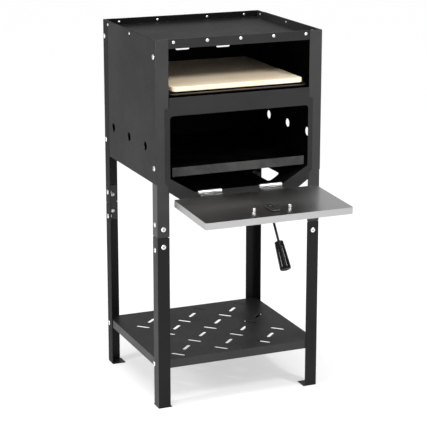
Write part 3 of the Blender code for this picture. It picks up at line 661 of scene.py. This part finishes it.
def dress_panel_screws():
    """Screws along the legs that hold the side panels, the back and the shelf."""
    front_y, back_y = FRONT_Y + FRONT_SCREW_INSET, BACK_Y - BACK_SCREW_INSET
    seats = []
    for side in (-1, 1):
        out = Vector((side, 0.0, 0.0))
        for height in SIDE_SCREW_ROWS:
            for y, x in ((front_y, PANEL_X), (back_y, LEG_X)):
                seats.append((Vector((side * x, y, height)), out, SIDE_HEAD_HEIGHT))
        for y in (FRONT_Y + SHELF_SCREW_INSET, back_y):
            seat = Vector((side * LEG_X, y, SHELF_BOTTOM + SHELF_SCREW_RISE))
            seats.append((seat, out, SIDE_HEAD_HEIGHT))
    for side in (-1, 1):
        for height in BACK_SCREW_ROWS:
            seat = Vector((side * (LEG_X - BOLT_INSET), BACK_Y, height))
            seats.append((seat, Vector((0.0, 1.0, 0.0)), HEAD_HEIGHT))
    bm = bmesh.new()
    for index, (seat, out, head_height) in enumerate(seats):
        truss_head(bm, seat, out, HEAD_RADIUS, head_height, spin_of(index))
    object_from(bm, "panel_screws", (ZINC, ZINC_RECESS_SHADE), "frame")


def dress_rivets():
    """Rivets along the fascia and round the top rim, headed outside and inside."""
    bm = bmesh.new()
    to_front, to_back = (0.0, -1.0, 0.0), (0.0, 1.0, 0.0)
    for step in range(-2, 3):
        x = FASCIA_RIVET_SHIFT + step * FASCIA_RIVET_PITCH
        seat = Vector((x, FASCIA_Y, TOP_Z - FASCIA_RIVET_DROP))
        rivet_head(bm, seat, to_front, *FASCIA_RIVET)
    rivet_z = TOP_Z - RIM_RIVET_DROP
    for x in BACK_RIVETS_X:
        rivet_head(bm, Vector((x, TRAY_BACK_Y - RIM_SHEET, rivet_z)), to_front, *RIM_RIVET)
        rivet_head(bm, Vector((x, BACK_PANEL_Y, rivet_z)), to_back, *RIM_RIVET)
    for side in (-1, 1):
        for y, x in SIDE_RIVETS_INSIDE:
            seat = Vector((side * (x - RIM_SHEET), BODY_Y + y, rivet_z))
            rivet_head(bm, seat, (-side, 0.0, 0.0), *RIM_RIVET)
        for y in SIDE_RIVETS_OUTSIDE:
            seat = Vector((side * PANEL_X, BODY_Y + y, rivet_z))
            rivet_head(bm, seat, (side, 0.0, 0.0), *RIM_RIVET)
    object_from(bm, "rim_rivets", (ZINC, ZINC_RECESS_SHADE), "frame")


def dress_grip():
    """Turned grip with a collar, shallow flutes and a domed end."""
    rod_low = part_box("latch_rod")[0]
    along = Vector((0.0, -math.sin(GRIP_SLOPE), -math.cos(GRIP_SLOPE)))
    rod_end = Vector((0.0, rod_low.y - ROD_R * along.z, rod_low.z - ROD_R * along.y))
    start = rod_end - along * GRIP_ON_ROD
    turn = along.to_track_quat("Z", "Y").to_matrix().to_4x4()
    matrix = Matrix.Translation(start) @ turn
    bm = bmesh.new()
    # distance along the grip and radius there, in mm
    stations = (
        (0.2, 5.8), (0.0, 9.4), (0.6, 10.6), (2.0, 11.5), (3.6, 11.6), (4.4, 11.0), (6.0, 11.2),
        (9.0, 11.7), (16.0, 12.1), (26.0, 12.6), (38.0, 13.1), (50.0, 13.6), (60.0, 14.0),
        (66.0, 14.2), (70.0, 14.4), (73.0, 14.1), (74.8, 13.2), (75.6, 11.6), (76.0, 6.6),
    )
    segments = 60
    rings = []
    for at, radius in stations:
        ring = []
        fluted = max(0.0, min(1.0, (at - 6.0) / 5.0)) * max(0.0, min(1.0, (70.0 - at) / 5.0))
        for k in range(segments):
            angle = 2 * math.pi * k / segments
            dip = FLUTE_DEPTH * fluted * max(0.0, math.cos(GRIP_FLUTES * angle)) ** 3
            r = (radius - dip) * MM
            point = Vector((r * math.cos(angle), r * math.sin(angle), at * MM))
            ring.append(bm.verts.new(matrix @ point))
        rings.append(ring)
    for lower, upper in zip(rings, rings[1:]):
        for k in range(segments):
            nxt = (k + 1) % segments
            bm.faces.new((lower[k], lower[nxt], upper[nxt], upper[k])).smooth = True
    bm.faces.new(list(reversed(rings[0])))
    bm.faces.new(rings[-1]).smooth = True
    obj = object_from(bm, "grip_moulding", (GRIP,), "latch")
    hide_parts("latch_grip")


paint_frame()
dress_splice_bolts()
dress_panel_screws()
dress_rivets()
dress_grip()


# ----------------------------------------------------------------- the studio


def make_floor():
    bm = bmesh.new()
    bmesh.ops.create_grid(bm, x_segments=4, y_segments=4, size=FLOOR_SIZE / 2)
    mesh = bpy.data.meshes.new("studio_floor")
    bm.to_mesh(mesh)
    bm.free()
    mesh.materials.append(studio_floor())
    floor = bpy.data.objects.new("studio_floor", mesh)
    floor.location = (0.0, 0.0, -FLOOR_DROP)
    bpy.context.scene.collection.objects.link(floor)


def add_light(name, kind, place, power):
    """Makes a light and returns it, with its data reachable as light.data."""
    data = bpy.data.lights.new(name, kind)
    data.energy = power
    light = bpy.data.objects.new(name, data)
    light.location = place
    bpy.context.scene.collection.objects.link(light)
    return light


def aim_at(light, target):
    away = Vector(target) - light.location
    light.rotation_euler = away.to_track_quat("-Z", "Y").to_euler()


def make_sky():
    world = bpy.data.worlds.new("studio")
    bpy.context.scene.world = world
    world.use_nodes = True
    background = world.node_tree.nodes["Background"]
    background.inputs["Color"].default_value = (1.0, 1.0, 1.0, 1.0)
    background.inputs["Strength"].default_value = SKY_STRENGTH


def make_lights():
    sun = add_light("overhead", "SUN", (0.0, 0.0, 0.0), SUN_STRENGTH)
    sun.data.angle = SUN_SPREAD
    sun.rotation_euler = SUN_TURN
    for name, place, aim, size, power in AREA_LIGHTS:
        light = add_light(name, "AREA", place, power)
        light.data.shape = "RECTANGLE"
        light.data.size, light.data.size_y = size
        aim_at(light, aim)
    spot = add_light("stone_spot", "SPOT", SPOT_PLACE, SPOT_POWER)
    spot.data.spot_size = SPOT_CONE
    spot.data.spot_blend = 1.0
    spot.data.shadow_soft_size = SPOT_RADIUS
    aim_at(spot, SPOT_AIM)


def make_camera():
    data = bpy.data.cameras.new("camera")
    data.sensor_width = 36.0
    data.lens = CAMERA_LENS
    data.shift_y = CAMERA_SHIFT
    data.clip_end = 200.0
    camera = bpy.data.objects.new("camera", data)
    camera.location = CAMERA_PLACE
    camera.rotation_euler = (math.pi / 2 - CAMERA_PITCH, 0.0, -CAMERA_YAW)
    bpy.context.scene.collection.objects.link(camera)
    bpy.context.scene.camera = camera


make_floor()
make_sky()
make_lights()
make_camera()
bpy.context.scene.view_settings.view_transform = "Standard"
